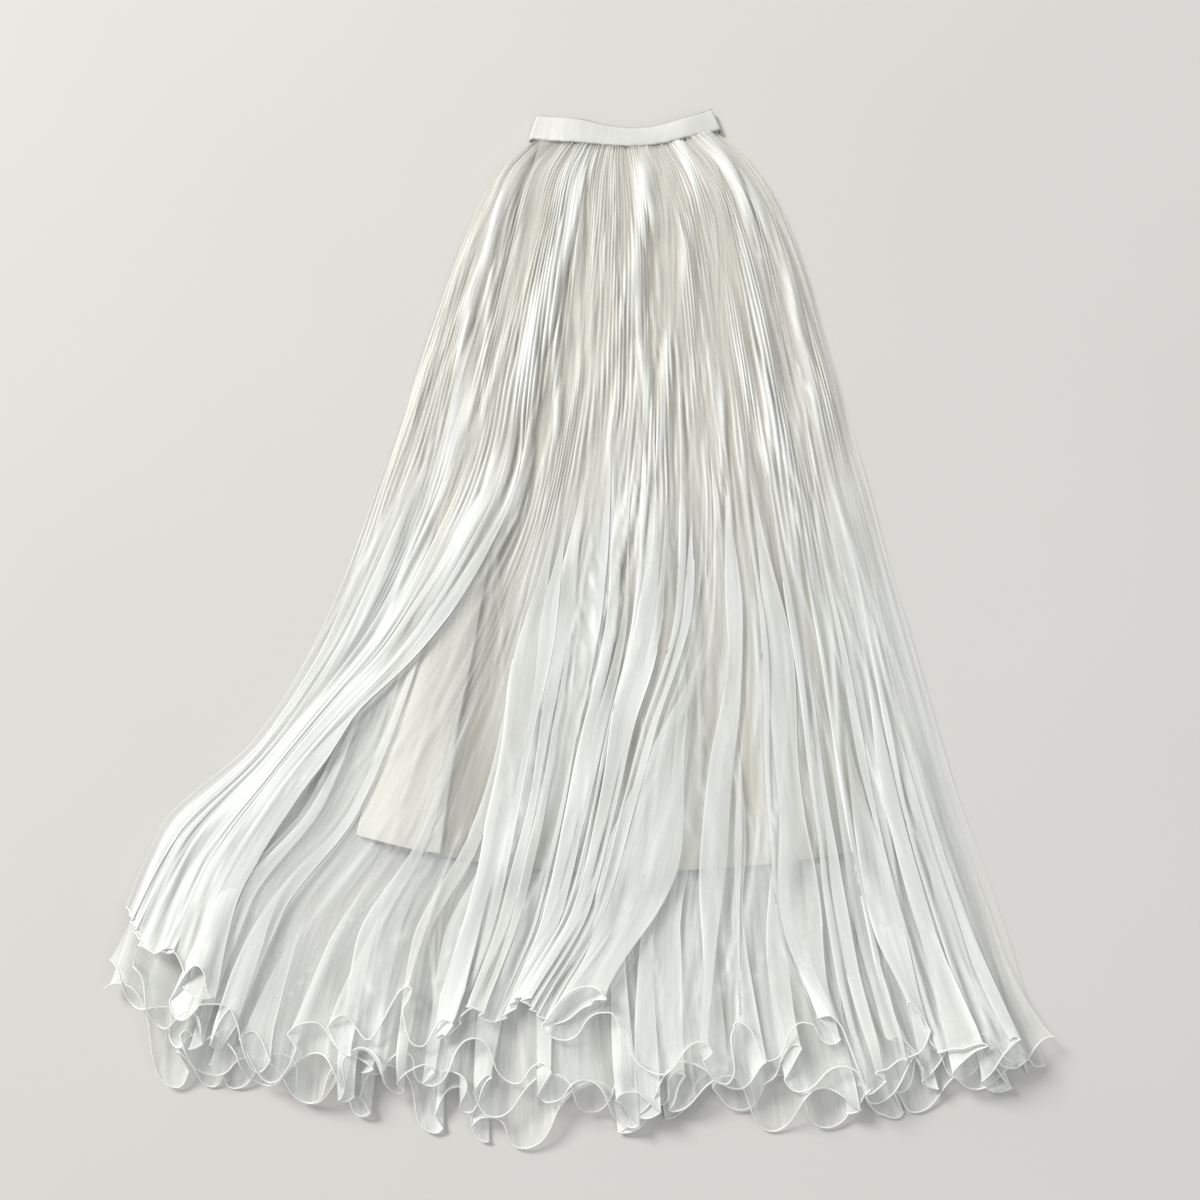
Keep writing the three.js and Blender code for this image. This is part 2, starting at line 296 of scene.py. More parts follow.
# Soft folds and creases of the pleated cloth. In thousandths: place across and its change in a
# metre of drop. Then half width, drop where each starts and ends, and height, which is negative
# for a crease.
FOLDS_FRONT = folds_of(
    (25, 520, 9, 0, 330, 4.6), (288, -80, 13, 0, 380, 6.4), (576, -450, 9, 20, 300, 5.2),
    (900, -220, 14, 0, 480, 6.8), (768, -710, 7, 0, 220, 4.6), (155, 120, 8, 30, 300, 4),
    (430, 180, 8, 0, 260, 4.2), (360, -300, 5, 10, 200, 3.6), (690, 150, 8, 150, 420, 4),
    (960, -100, 8, 40, 420, 3.4), (70, 250, 7, 160, 460, 4), (520, 200, 7, 180, 430, 4.2),
    (300, 300, 6, 200, 420, 3.6), (600, -200, 6, 230, 440, 3.6), (240, -250, 6, 120, 330, 3.2),
    (110, 320, 7, 100, 300, -5.2), (180, 160, 8, 40, 340, -5.8), (423, 100, 5, 10, 280, -4.6),
    (660, 900, 6, 40, 150, -4.6), (655, -320, 5, 10, 280, -4.8), (885, -150, 10, 80, 380, -6),
    (245, -50, 3, 0, 230, -3.2), (340, 300, 3, 10, 190, -3.4), (500, -300, 3, 0, 180, -3.6),
    (545, 150, 4, 60, 330, -3.8), (815, -350, 3, 0, 230, -3.4), (735, -50, 6, 150, 460, -4.8),
    (600, 300, 3, 130, 330, -3.4), (375, -120, 6, 180, 430, -4.4), (955, -300, 3, 60, 260, -3),
    (60, -20, 4, 60, 260, -3), (460, -500, 3, 60, 210, -3.4), (270, 350, 4, 230, 420, -3.6),
    (345, -220, 3, 60, 430, -4.4), (400, 160, 3, 120, 460, -4), (480, -50, 3, 20, 420, -4.2),
    (560, 20, 3, 140, 470, -4.4), (610, 100, 3, 30, 400, -4), (700, -140, 3, 60, 430, -4.4),
    (785, 120, 3, 130, 470, -4.8), (840, 220, 3, 40, 400, -4.6), (205, -150, 3, 90, 420, -4.2),
    (130, -100, 3, 30, 330, -4), (800, -250, 9, 160, 460, 4.6), (655, 220, 7, 60, 340, 4),
)
FOLDS_BACK = folds_of(
    (120, 20, 12, 30, 480, 4), (190, 0, 4, 20, 360, -3), (280, -40, 11, 20, 420, 4.4),
    (360, 30, 5, 40, 360, -3.4), (450, 0, 12, 20, 500, 4.6), (540, 30, 4, 30, 330, -3.2),
    (620, -20, 11, 30, 470, 4.4), (710, 20, 5, 50, 400, -3.4), (790, 0, 12, 20, 520, 4.4),
    (880, -20, 5, 40, 380, -3),
)

# Hem drops at shares of the way across.
HEM_OUTER_FRONT = (
    (0, 850), (0.15, 885), (0.27, 918), (0.30, 940), (0.335, 978), (0.37, 955), (0.50, 942),
    (0.62, 934), (0.67, 948), (0.71, 992), (0.77, 960), (0.82, 997), (0.88, 962), (0.94, 986), (1, 980),
)
HEM_UNDER_FRONT = (
    (0, 905), (0.08, 958), (0.18, 984), (0.30, 1006), (0.42, 986), (0.55, 1014), (0.68, 990),
    (0.80, 1002), (0.92, 984), (1, 966),
)
HEM_UNDER_BACK = (
    (0, 915), (0.08, 970), (0.20, 1010), (0.32, 994), (0.45, 1026), (0.60, 1004), (0.72, 1022),
    (0.86, 1002), (1, 984),
)
HEM_OUTER_BACK = (
    (0, 940), (0.08, 998), (0.20, 1014), (0.34, 1030), (0.50, 1043), (0.64, 1018), (0.76, 1030),
    (0.90, 1008), (1, 972),
)

TINY = 1e-6  # keeps divisions off zero
TUCK = 3  # how far the cloth goes up inside the waistband
PLEATS = 104  # set pleats across a panel, and how many they wander sideways
PLEAT_WANDER = 1.5
PLEATS_RELAX = (300, 560)  # drops between which they relax, and how much of them goes
PLEATS_LOST = 0.85
GATHERS = 54  # gathers across a panel at the waist seam, and how many they wander
GATHER_WANDER = 1.2
GATHER_HIGH = 3.2
GATHER_FADES = (12, 40)  # drop in which the shortest fade, and what the longest take beyond it
SIDE_CROWDING = 0.075  # how much closer they are towards the sides of the waist seam
CROWDED_TO = 280  # drop at which they are even again
SEAM_SWELL = 1  # drop by which the gathers have swelled out
LAP_WANDER = 0.0035  # how far laps wander across the panel
LAP_EASE = 80  # drop above and below its start in which a lap begins to wander
LAP_APART = 0.0025  # least share of the panel between one lap and the next
LAP_PASSES = 60  # times that laps which meet are pushed apart
LAP_SETTLE = 14  # how far past a lap the cloth takes to lie down again
LAP_FOLDS = ((0.75, 1), (0.25, 0.4))  # place in a lap of either fold, and how plainly it shows
LAP_LINE = 0.04  # how wide a fold's line is there
LAP_LIFT = 0.55  # how much thicker than its cloth a lap stands
LAP_CALM = 0.6  # how far a lap smooths the folds and creases that cross it
FOLD_LIFT = 1.7  # how much higher than the tables the folds stand
FINE_CREASES = (180, 900, (0.3, 1.1))  # drops between which they start, and their heights
PINCHES = (-40, 280, (-3.2, 2.0))
BILLOW = 5  # height of the slow rise and fall of the pleated cloth
LOW_SWELL = 2  # and of the relaxed cloth
BUNCH_SWELL = 0.7  # how much higher squeezed cloth stands
RUFFLE_SWING = (0.75, 1.7)  # least and greatest swing of the hem's direction, in radians
CURL_LONG = 17  # how much cloth curls over at the hem, and how far, in radians
CURL_TURN = 2.5
SIDE_WIDTH = 15  # width of a front panel that turns down to its side seam
SIDE_HIGH = 0.8  # height of that seam
LEAST_HIGH = 0.1  # least height above the surface
SQUASH = 120  # how far the pile gives: the height at which it is pressed to half


def waves(across, drop, seed, count, across_rate, drop_rate):
    """Gentle seeded unevenness between -1 and 1: its rates are turns across and down a metre."""
    draw = np.random.default_rng(seed)
    total = np.zeros(np.broadcast(across, drop).shape)
    for _ in range(count):
        turns = draw.uniform(0.4, 1) * across_rate * draw.choice((-1, 1))
        lean = draw.uniform(0.2, 1) * drop_rate / 1000
        total += np.sin(2 * np.pi * (turns * across + lean * drop + draw.random()))
    return total / count


def lap_middles(laps, level):
    """Where the laps' middles are across the panel, a row for each lap and a column for each drop.

    Laps that lean together meet in a V and run on side by side.
    """
    if not laps:
        return np.zeros((0, len(level)))
    middles = []
    for k, (place, lean, _, start, *_) in enumerate(laps):
        wander = LAP_WANDER * np.sin(level / (58 + 7 * (k % 4)) + 1.7 * k)
        begun = ease(level, start - LAP_EASE, start + LAP_EASE)
        middles.append(place + lean * (level - start) / 1000 + wander * begun)
    middles = np.array(middles)
    halves = np.array([lap[2] for lap in laps])[:, None]
    for _ in range(LAP_PASSES):
        short = np.maximum(middles[:-1] + halves[:-1] + LAP_APART - middles[1:] + halves[1:], 0)
        middles[:-1] -= 0.5 * short
        middles[1:] += 0.5 * short
    return middles


def place_columns(laps, count):
    """Columns across a panel, closer where laps need more cloth."""
    fine = np.linspace(0, 1, 6001)
    need = np.full(fine.shape, 1000.0)
    lap_need = 1.6  # of each millimetre of a lap
    for place, _, half, _, _, width, _, _ in laps:
        need += np.where(np.abs(fine - place) < half, lap_need * width / (2 * half), 0)
    travelled = np.concatenate([[0], np.cumsum((need[1:] + need[:-1]) / 2)])
    return np.interp(np.linspace(0, travelled[-1], count), travelled, fine)


def follow_laps(columns, level, laps):
    """Place across of every point: the columns run along the laps, so that folds stay crisp."""
    halves = [lap[2] for lap in laps]

    def knots_at(middles):
        ends = [(middle - half, middle + half) for middle, half in zip(middles, halves)]
        return np.array([0.0, *(end for pair in ends for end in pair), 1.0])

    knots = knots_at([lap[0] for lap in laps])
    in_order = 1e-7 * np.arange(len(columns))
    rows = []
    for middles in lap_middles(laps, level[:, 0]).T:
        shifted = np.maximum.accumulate(knots_at(middles))
        rows.append(np.interp(columns, knots, shifted) + in_order)
    return np.stack(rows)


def place_rows(count):
    """Rows down a panel as shares of its length, closer together at the seam and the hem."""
    seam = (0, 0.0018, 0.003, 0.0042, 0.006, 0.010)
    edge = np.linspace(0.975, 1, 10)
    body = count - len(seam) - len(edge)
    above = int(body * 0.62)
    first, closer = 0.018, 0.86
    upper = np.linspace(first, closer, above, endpoint=False)
    lower = np.linspace(closer, edge[0], body - above, endpoint=False)
    return np.concatenate([seam, upper, lower, edge])


def lay_out(across, level, inset, swept):
    """x of every point of the smooth panel, and how far it is squeezed there (1 is not)."""
    left, right = reach(level, inset)
    crowded = SIDE_CROWDING * (1 - ease(level, 0, CROWDED_TO))
    plain = -left + (across + crowded * np.sin(2 * np.pi * (across - 0.5))) * (left + right)
    if not swept:
        return plain, np.ones(plain.shape)
    knots = np.array((0, *SWEPT_X, 1))
    places = -left + knots * (left + right)
    blend = ease(level, SWEPT_DROP[0], SWEPT_DROP[1])
    for k, line in enumerate(SWEPT_X.values(), 1):
        pushed = curve_through(level, SWEPT_DROP, line)
        places[:, k:k + 1] += (pushed - places[:, k:k + 1]) * blend
    x = np.stack([np.interp(across[j], knots, row) for j, row in enumerate(places)])
    squeeze = (np.gradient(x, axis=1) + TINY) / (np.gradient(plain, axis=1) + TINY)
    return x, np.clip(moving_mean(squeeze, 4), 0.12, 3)


def row_value(across, values, places):
    """Value on each row at that row's own place across."""
    found = [np.interp(place, line, row) for place, line, row in zip(places[:, 0], across, values)]
    return np.array(found)[:, None]


def lap_growth(level, start, full, k):
    """How far a lap has opened at each drop, with a pulse that differs from lap to lap."""
    slow = 0.24 * np.sin(level / (41 + 6 * (k % 5)) + 2.1 * k)
    quick = 0.05 * np.sin(level / 22 + 1.3 * k)
    part = ramp(level, start, full)
    return smooth(part) ** 0.8 * (1 + (slow + quick) * part)


def lay_laps(across, level, x, squeeze, laps):
    """Sideways move, lift, edge strength and doubled cloth of every lap."""
    move, lift, edge, doubled = np.zeros((4, *x.shape))
    middles = lap_middles(laps, level[:, 0])
    for k, (_, _, half, start, full, width, thick, side) in enumerate(laps):
        grown = lap_growth(level, start, full, k)
        middle = middles[k][:, None]
        p = np.clip((across - middle + half) / (2 * half), 0, 1)
        laid = width * grown * np.clip(row_value(across, squeeze, middle), 0.2, 1.3)
        move += laid * 0.5 * np.sin(2 * np.pi * p)
        past = side * (x - row_value(across, x, middle)) - laid / 2
        settled = 1 - smooth(past / LAP_SETTLE)
        along = p if side > 0 else 1 - p
        inside = smooth((along - 0.1) / 0.8)
        thickness = LAP_LIFT * thick * np.sqrt(np.clip(grown, 0, 1.3))
        lift += thickness * np.where(along >= 1, settled, inside)
        strength = np.clip(grown, 0, 1)
        for fold, plain in LAP_FOLDS:
            edge += strength * plain * np.exp(-((along - fold) / LAP_LINE) ** 2)
        doubled += strength * smooth(p / 0.2) * smooth((1 - p) / 0.2)
    return move, lift, edge, np.clip(doubled, 0, 1)


def lay_folds(across, drop, base, x, folds):
    """Lift of soft folds, and of creases with a sharper bottom."""
    lift = np.zeros(x.shape)
    level = drop.mean(axis=1, keepdims=True)
    for place, lean, half, start, end, height in folds:
        middle = place + lean * (level - start) / 1000
        part = (drop - start) / (end - start)
        window = smooth((part + 0.12) / 0.3) * smooth((1 - part) / 0.45)
        away = np.abs(x - row_value(across, base, middle)) / half
        sharpness = 2 if height > 0 else 1.3
        lift += FOLD_LIFT * height * window * np.exp(-away ** sharpness)
    return lift


def crinkles(across, drop, base, x, seed, count, first, last, heights):
    """Seeded creases: long, thin and uneven, starting between two drops. Lift and strength."""
    draw = np.random.default_rng(seed)
    lift, line = np.zeros((2, *x.shape))
    level = drop.mean(axis=1, keepdims=True)
    for _ in range(count):
        place = draw.uniform(0, 1)
        start = draw.uniform(first, last)
        end = start + draw.uniform(90, 420)
        lean = draw.normal(0, 0.2)
        half = draw.uniform(1.1, 3.6)
        height = draw.uniform(*heights)
        bend = draw.uniform(0.001, 0.004)
        turn = draw.uniform(0, 6)
        rows = np.nonzero((level[:, 0] > start) & (level[:, 0] < end))[0]
        if len(rows) < 3:
            continue
        band = slice(rows[0], rows[-1] + 1)
        part = (level[band] - start) / (end - start)
        middle = place + lean * (level[band] - start) / 1000 + bend * np.sin(level[band] / 50 + turn)
        away = (x[band] - row_value(across[band], base[band], middle)) / half
        shape = smooth(part / 0.3) * smooth((1 - part) / 0.5) / (1 + away ** 2) ** 1.5
        lift[band] += height * shape
        line[band] += shape * np.sign(height)
    return lift, line


def ruffle_edge(cloth, seed, ruffle):
    """Flutes of the stretched hem along the cloth's own edge, as a seeded meander.

    The edge's direction swings from side to side, as a river's does, so that the flutes are
    round and the narrow ones double back. Gives its shift along the edge and down, its lift, how
    far what is lifted leans sideways and spills, and how far it curls.
    """
    draw = np.random.default_rng(seed)
    shortest, longest = ruffle["waves"]
    knots = [-draw.uniform(0, shortest)]
    while knots[-1] < cloth[-1]:
        knots.append(knots[-1] + shortest + (longest - shortest) * draw.random() ** 1.4)
    knots = np.array(knots)
    wide = (np.diff(knots) - shortest) / (longest - shortest)
    middles = (knots[:-1] + knots[1:]) / 2
    count = len(middles)
    step = 0.5
    fine = np.arange(knots[0], knots[-1], step)

    def drawn(values):
        return np.interp(fine, middles, values)

    phase = 2 * np.pi * np.interp(fine, knots, np.arange(len(knots)))
    least, most = RUFFLE_SWING
    swing = drawn(least + (most - least) * draw.random(count) * (1 - 0.6 * wide))
    heading = -swing * np.sin(phase)
    # Mean of cos(heading) over a flute, by its series: dividing by it keeps the flutes in place.
    pace = 1 - swing ** 2 / 4 + swing ** 4 / 64 - swing ** 6 / 2304
    along = np.cumsum(np.cos(heading) / pace - 1) * step
    down = np.cumsum(np.sin(heading) / pace) * step
    along -= np.interp(fine, knots, np.interp(knots, fine, along))
    down -= np.interp(fine, knots, np.interp(knots, fine, down))
    down -= drawn(np.interp(middles, fine, down)) / 2
    down += drawn(draw.uniform(-1, 1, count)) * ruffle["uneven"]
    turned = drawn(draw.uniform(-0.5, 0.5, count))
    arch = (1 - np.cos(phase + turned)) / 2 * drawn(draw.uniform(0.5, 1.3, count))
    lean = arch * drawn(draw.uniform(-1, 1, count)) * ruffle["lean"]
    spill = arch * drawn(draw.uniform(-0.8, 1, count)) * ruffle["spill"]
    curl = smooth(drawn(draw.random(count) ** 1.3)) * (0.6 + 0.4 * np.cos(phase + turned + np.pi))
    return tuple(np.interp(cloth, fine, v)[None, :] for v in (along, down, arch, lean, spill, curl))


def curl_lip(x, drop, lift, facing, turn, last):
    """Curls the last of the cloth over, square to its own edge."""
    out_x, out_drop = -np.gradient(drop[-1]), np.gradient(x[-1])
    size = facing * (np.hypot(out_x, out_drop) + TINY)
    out_x, out_drop = moving_mean(np.stack([out_x / size, out_drop / size]), 6)
    short = CURL_LONG * (np.sin(turn * last) / turn - last)
    lift = lift + CURL_LONG * (1 - np.cos(turn * last)) / turn
    return x + out_x * short, drop + out_drop * short, lift


def flute_hem(x, drop, lift, hem_drop, squeeze, seed, ruffle):
    """Flutes the stretched hem and curls its lip, worked out along the cloth's own edge.

    Gives x, drop and lift, cloth along the edge, and how far into flutes and lip each point is.
    """
    cloth = np.concatenate([[0], np.cumsum(np.abs(np.diff(x[-1])))])
    ahead = np.clip(np.gradient(x[-1], cloth + np.arange(len(cloth)) * TINY), -1, 1)
    ahead = moving_mean(ahead[None, :], 9)
    freedom = np.clip(1.5 * squeeze[-1:], 0.25, 1)
    along, down, arch, lean, spill, curl = ruffle_edge(cloth, seed, ruffle)
    grown = np.clip((drop - hem_drop + ruffle["depth"]) / ruffle["depth"], 0, 1)
    last = np.clip((drop - hem_drop + CURL_LONG) / CURL_LONG, 0, 1)
    lift = lift * (1 - 0.5 * grown ** 2) + ruffle["rise"] * arch * freedom * grown ** 1.5
    x = x + ahead * freedom * (along * grown ** 1.5 + lean * grown ** 2)
    drop = drop + (down + spill) * freedom * grown ** 1.6
    turn = CURL_TURN * curl * freedom + 0.05
    x, drop, lift = curl_lip(x, drop, lift, np.sign(ahead[0]), turn, last)
    return x, drop, lift, cloth, grown, last * curl


def gather_lift(across, drop, seed):
    """Gathers just below the waist seam, some longer and higher than others."""
    uneven = waves(across, drop, seed, 7, 22, 3.5)
    turn = GATHERS * across + GATHER_WANDER * waves(across, drop, seed + 2, 5, 14, 1)
    gather = 0.5 + 0.5 * np.sin(2 * np.pi * turn)
    fades = GATHER_FADES[0] + GATHER_FADES[1] * np.clip(0.4 + 1.2 * uneven, 0, 1)
    high = GATHER_HIGH * np.clip(0.8 + 0.9 * uneven, 0.3, 1.5)
    return high * np.exp(-np.abs(drop) / fades) * gather ** 1.5


def set_pleats(across, drop, seed, pleat, relaxed):
    """How far up its set pleat each point is, from 0 to 1, and how deep the pleat is."""
    patchy = waves(across, drop, seed + 8, 6, 9, 5)
    depth = pleat * (0.3 + 0.7 * ramp(drop, 10, 120)) * (1 - PLEATS_LOST * relaxed)
    turn = PLEATS * across + PLEAT_WANDER * waves(across, drop, seed + 1, 6, 12, 1.8)
    return 1 - np.abs(2 * (turn % 1) - 1), depth * np.clip(0.9 + 2.4 * patchy, 0.08, 2)


def tulle_shape(hem, laps, seed, columns, rows, pleat, fine, ruffle, inset=0, folds=(), swept=False):
    """One tulle panel in skirt coordinates, before it is laid on the pile."""
    share = place_rows(rows)[:, None]
    level = -TUCK + share * (np.mean([row[1] for row in hem]) + TUCK)
    across = follow_laps(place_columns(laps, columns), level, laps)
    hem_drop = curve_through(across[-1:], *zip(*hem))
    drop = -TUCK + share * (hem_drop + TUCK)

    base, squeeze = lay_out(across, level, inset, swept)
    move, lift, edge, doubled = lay_laps(across, level, base, squeeze, laps)
    bunched = 1 / squeeze
    x = base + move
    left, right = reach(level, inset)
    laid = (x + left) / (left + right)

    relaxed = ease(drop, *PLEATS_RELAX)
    pleats, depth = set_pleats(across, drop, seed, pleat, relaxed)
    lift = lift + depth * (pleats - 1) + gather_lift(across, drop, seed)
    fold_lift = lay_folds(across, drop, base, x, folds)
    pinched, pinched_line = crinkles(across, drop, base, x, seed + 7, fine, *PINCHES)
    creased, creased_line = crinkles(across, drop, base, x, seed + 6, fine, *FINE_CREASES)
    calm = 1 - LAP_CALM * doubled
    lift = lift + (fold_lift + creased + pinched) * calm
    broad = waves(laid, drop, seed + 3, 7, 15, 2.4)
    soft = waves(laid, drop, seed + 5, 9, 9, 9)
    full = ease(drop, 10, 90) * (1 - 0.5 * ease(drop, 380, 620))
    lift = lift + LOW_SWELL * ease(drop, 350, 800) * (0.5 + 0.5 * broad)
    lift = lift + BILLOW * full * (0.6 + soft)
    lift = lift + BUNCH_SWELL * np.clip(np.sqrt(bunched) - 1, 0, 2) * ease(drop, 450, 640)
    lift = np.maximum(lift, 0) * ease(drop, -TUCK, SEAM_SWELL)
    # How high the soft folds and billows stand. The colour tone follows it, lighter on ridges and darker
    # in troughs, which is painted shade; the tone also runs warmer at the pleated top and cooler lower
    # down.
    ridges = np.clip(fold_lift / 5 + 0.8 * soft, -1, 1) * (1 - relaxed) + 0.6 * broad * relaxed

    x, drop, lift, cloth, grown, lip = flute_hem(x, drop, lift, hem_drop, squeeze, seed + 4, ruffle)
    return {"across": across, "share": share, "x": x, "drop": drop, "lift": lift, "edge": edge,
            "laid": laid, "cloth": cloth, "grown": grown, "lip": lip, "doubled": doubled,
            "hem": hem_drop, "line": (creased_line + 0.9 * pinched_line) * calm, "ridges": ridges,
            "tone": ease(drop, 200, 620) + 0.75 * ridges,
            "pleats": (pleats - 0.5) * np.clip(depth, 0, 1.4), "bunched": bunched}


def squash(z):
    """Height of a point once the pile's own weight has pressed it."""
    return z / (1 + np.maximum(z, 0) / SQUASH)


def lay_panel(name, shape, pile, gap, front, cover):
    """Lays a panel on the pile and makes its mesh."""
    across, x, drop = shape["across"] + 0 * shape["drop"], shape["x"], shape["drop"]
    z = pile.height(x, drop) + gap + shape["lift"]
    if front:
        inside = np.minimum(np.abs(x - x[:, :1]), np.abs(x[:, -1:] - x))
        z = SIDE_HIGH + (z - SIDE_HIGH) * smooth(inside / SIDE_WIDTH)
    pile.add(x, drop, z)
    points = to_frame(x, drop, np.maximum(squash(z), LEAST_HIGH), across)
    rows, columns = x.shape
    uvs = np.stack([shape["cloth"][None, :] + 0 * drop, shape["share"] * shape["hem"]], axis=-1) * MM
    # Share of the lighter, cooler colour: more on raised folds and on the lining's lit left panel, less
    # in troughs and where the lining lies in shade, which is painted light and shade.
    cool_and_lit = np.clip(shape["tone"], 0, 1)
    values = {"edge": np.clip(shape["edge"], 0, 1), "cover": cover, "cool_and_lit": cool_and_lit}
    thing = mesh_object(name, points.reshape(-1, 3), grid_faces(rows, columns),
                        uvs.reshape(-1, 2), {key: v.reshape(-1) for key, v in values.items()})
    return thing, points


# ---- lining
LINING_WAIST = (98, 98)  # reach to the left and right at the waist
LINING_HEM = (269, 236)  # and at the hem
LINING_DROP = (778, 814, 792)  # hem drop at the left corner, middle and right corner
LINING_GAP = 0.6  # room between it and what it lies on
LINING_LAPS = laps_of(
    (153, 0, 22, 400, 720, 18, -7.5), (700, 20, 14, 520, 800, 10, 1),
)
LINING_FOLDS = folds_of(
    (80, 0, 26, 250, 1100, 4), (300, 0, 22, 300, 1100, 2.2), (450, 20, 20, 150, 1000, 2),
    (620, 0, 22, 350, 1100, 2.6), (860, 0, 24, 250, 1100, 2.4),
)


def lining_shape(laps, columns=150, rows=110):
    share = np.linspace(0, 1, rows)[:, None]
    level = share * LINING_DROP[1]
    across = follow_laps(place_columns(laps, columns), level, laps)
    left_drop, middle_drop, right_drop = LINING_DROP
    side = 2 * across[-1:] - 1
    hem_drop = middle_drop + (np.where(side < 0, left_drop, right_drop) - middle_drop) * side ** 2
    drop = share * hem_drop
    left, right = (waist + (hem - waist) * share for waist, hem in zip(LINING_WAIST, LINING_HEM))
    x = -left + across * (left + right)
    move, lift, _, _ = lay_laps(across, level, x, np.ones(x.shape), laps)
    lift = lift + lay_folds(across, drop, x, x + move, LINING_FOLDS)
    if laps:
        # Painted shade: the doubled left panel is drawn darker up under the swept tulle and lighter
        # toward the hem, and the satin just right of its fold darkest, where the fold's shadow falls,
        # then somewhat lighter further right.
        past = across - lap_middles(laps, level[:, 0])[0][:, None]
        doubled = 0.45 + 0.55 * ease(drop, 480, 780)
        tone = doubled * (1 - ease(past, -0.004, 0.004)) + 0.4 * ease(past, 0.03, 0.16)
    else:
        tone = 0.5 + 0 * drop
    return {"across": across, "share": share, "x": x + move, "drop": drop, "lift": lift,
            "edge": 0 * drop, "tone": tone, "cloth": x[-1] + move[-1] - x[-1][0], "hem": hem_drop}


# ---- waistband
BAND_SIDE = (-1, -0.5, -0.15, 0.1, 0.5, 1)  # places from the left end to the right end
BAND_TALL = (33, 32, 27, 25, 26, 28)  # height of the front there
BAND_BACK_UP = 3  # how far its back shows above the front's middle
BAND_THICK = 1.8
BAND_LOW_Z = 1.2  # middle of the back wall
BAND_TURN = 3.2  # how far its folded ends bulge
BAND_CLOSED = 2.2  # least height of its front above its back
BAND_PRESS = 1.2  # how far it is pressed into the cloth that it lies on
BAND_SINK = 0.6  # and how much further at its sewn edge
BAND_SAG = 0.8  # how far its front bows up and down
BAND_LOWER = 0.4  # how far it reaches over the waist seam
BAND_TAPER = 0.085  # how much narrower the top edge is
BAND_ROUND = 10  # steps round each folded end
BAND_LONG = 120  # steps along each side
BAND_SECTION = 12  # points up each face of the strip


def band_loop(pile):
    """Points round the flattened loop: x, the way out in x and z, and z."""
    straight = HALF_WAIST + 1 - BAND_TURN
    run = np.linspace(-straight, straight, BAND_LONG, endpoint=False)
    turn = np.linspace(0, np.pi, BAND_ROUND, endpoint=False)
    x = np.concatenate([run, straight + 0 * turn, -run, -straight + 0 * turn])
    out_x = np.concatenate([0 * run, np.sin(turn), 0 * run, -np.sin(turn)])
    out_z = np.concatenate([1 + 0 * run, np.cos(turn), -1 + 0 * run, -np.cos(turn)])
    x = x + BAND_TURN * out_x
    lies_on = squash(pile.height(x, 2 + 0 * x))
    wrap = 20
    around = np.concatenate([lies_on[-wrap:], lies_on, lies_on[:wrap]])[None, :]
    lies_on = moving_mean(around, 9)[0, wrap:-wrap]
    free = 0.55 + 0.45 * smooth((1 - np.abs(x) / HALF_WAIST) / 0.4)
    closed = BAND_LOW_Z + BAND_CLOSED
    high = closed + np.clip(lies_on - BAND_PRESS - closed, 0.3, None) * free
    z = BAND_LOW_Z + (high - BAND_LOW_Z) * (1 + out_z) / 2
    return [v[:, None] for v in (x, out_x, out_z, z)]


def band_section():
    """Section of the strip: up its outer face, over its rounded top edge and down inside."""
    climb = np.linspace(0, 1, BAND_SECTION)
    bow = 0.5 * np.sqrt(np.clip(1 - (2 * climb - 1) ** 6, 0, 1))
    up = np.concatenate([climb, climb[::-1]])
    thick = np.concatenate([bow, -bow[::-1]]) * BAND_THICK
    return up[None, :], thick[None, :]


def band_shape(pile):
    """Flattened loop of elastic: points round the loop, each with the strip's own section."""
    x, out_x, out_z, z = band_loop(pile)
    up, thick = band_section()
    front = smooth((1 + out_z) / 2)
    side = x / HALF_WAIST
    tall = curve_through(side, BAND_SIDE, BAND_TALL)
    tall = np.where(front > 0.5, tall, tall + BAND_BACK_UP * smooth((1 - np.abs(side)) / 0.5))
    ripple = 0.35 * np.sin(x / 2.3) + 0.25 * np.sin(x / 3.7 + 1)
    drop = -seam_rise(side) - up * tall + BAND_LOWER
    drop = drop + ripple * (1 - up) ** 4
    narrower = 1 - BAND_TAPER * up * smooth((np.abs(side) - 0.3) / 0.7)
    wide = x * narrower + thick * out_x
    sunk = BAND_SINK * (1 - up) ** 3 * front
    sag = BAND_SAG * np.sin(x / 31.0) * np.sin(np.pi * up) * front
    return wide, drop, z + thick * out_z + sag - sunk, x[:, 0]


def make_waistband(pile):
    wide, drop, high, x = band_shape(pile)
    points = to_frame(wide, drop, high).reshape(-1, 3)
    loop, section = wide.shape
    outward = (0, 3, 2, 1)
    faces = grid_faces(loop + 1, section, closed=True)[:, outward] % len(points)
    along = np.concatenate([[0], np.cumsum(np.abs(np.diff(x)) + 0.4)])
    uvs = np.stack([along[:, None] + 0 * drop, drop], axis=-1).reshape(-1, 2) * MM
    return mesh_object("waistband_satin", points, faces, uvs)


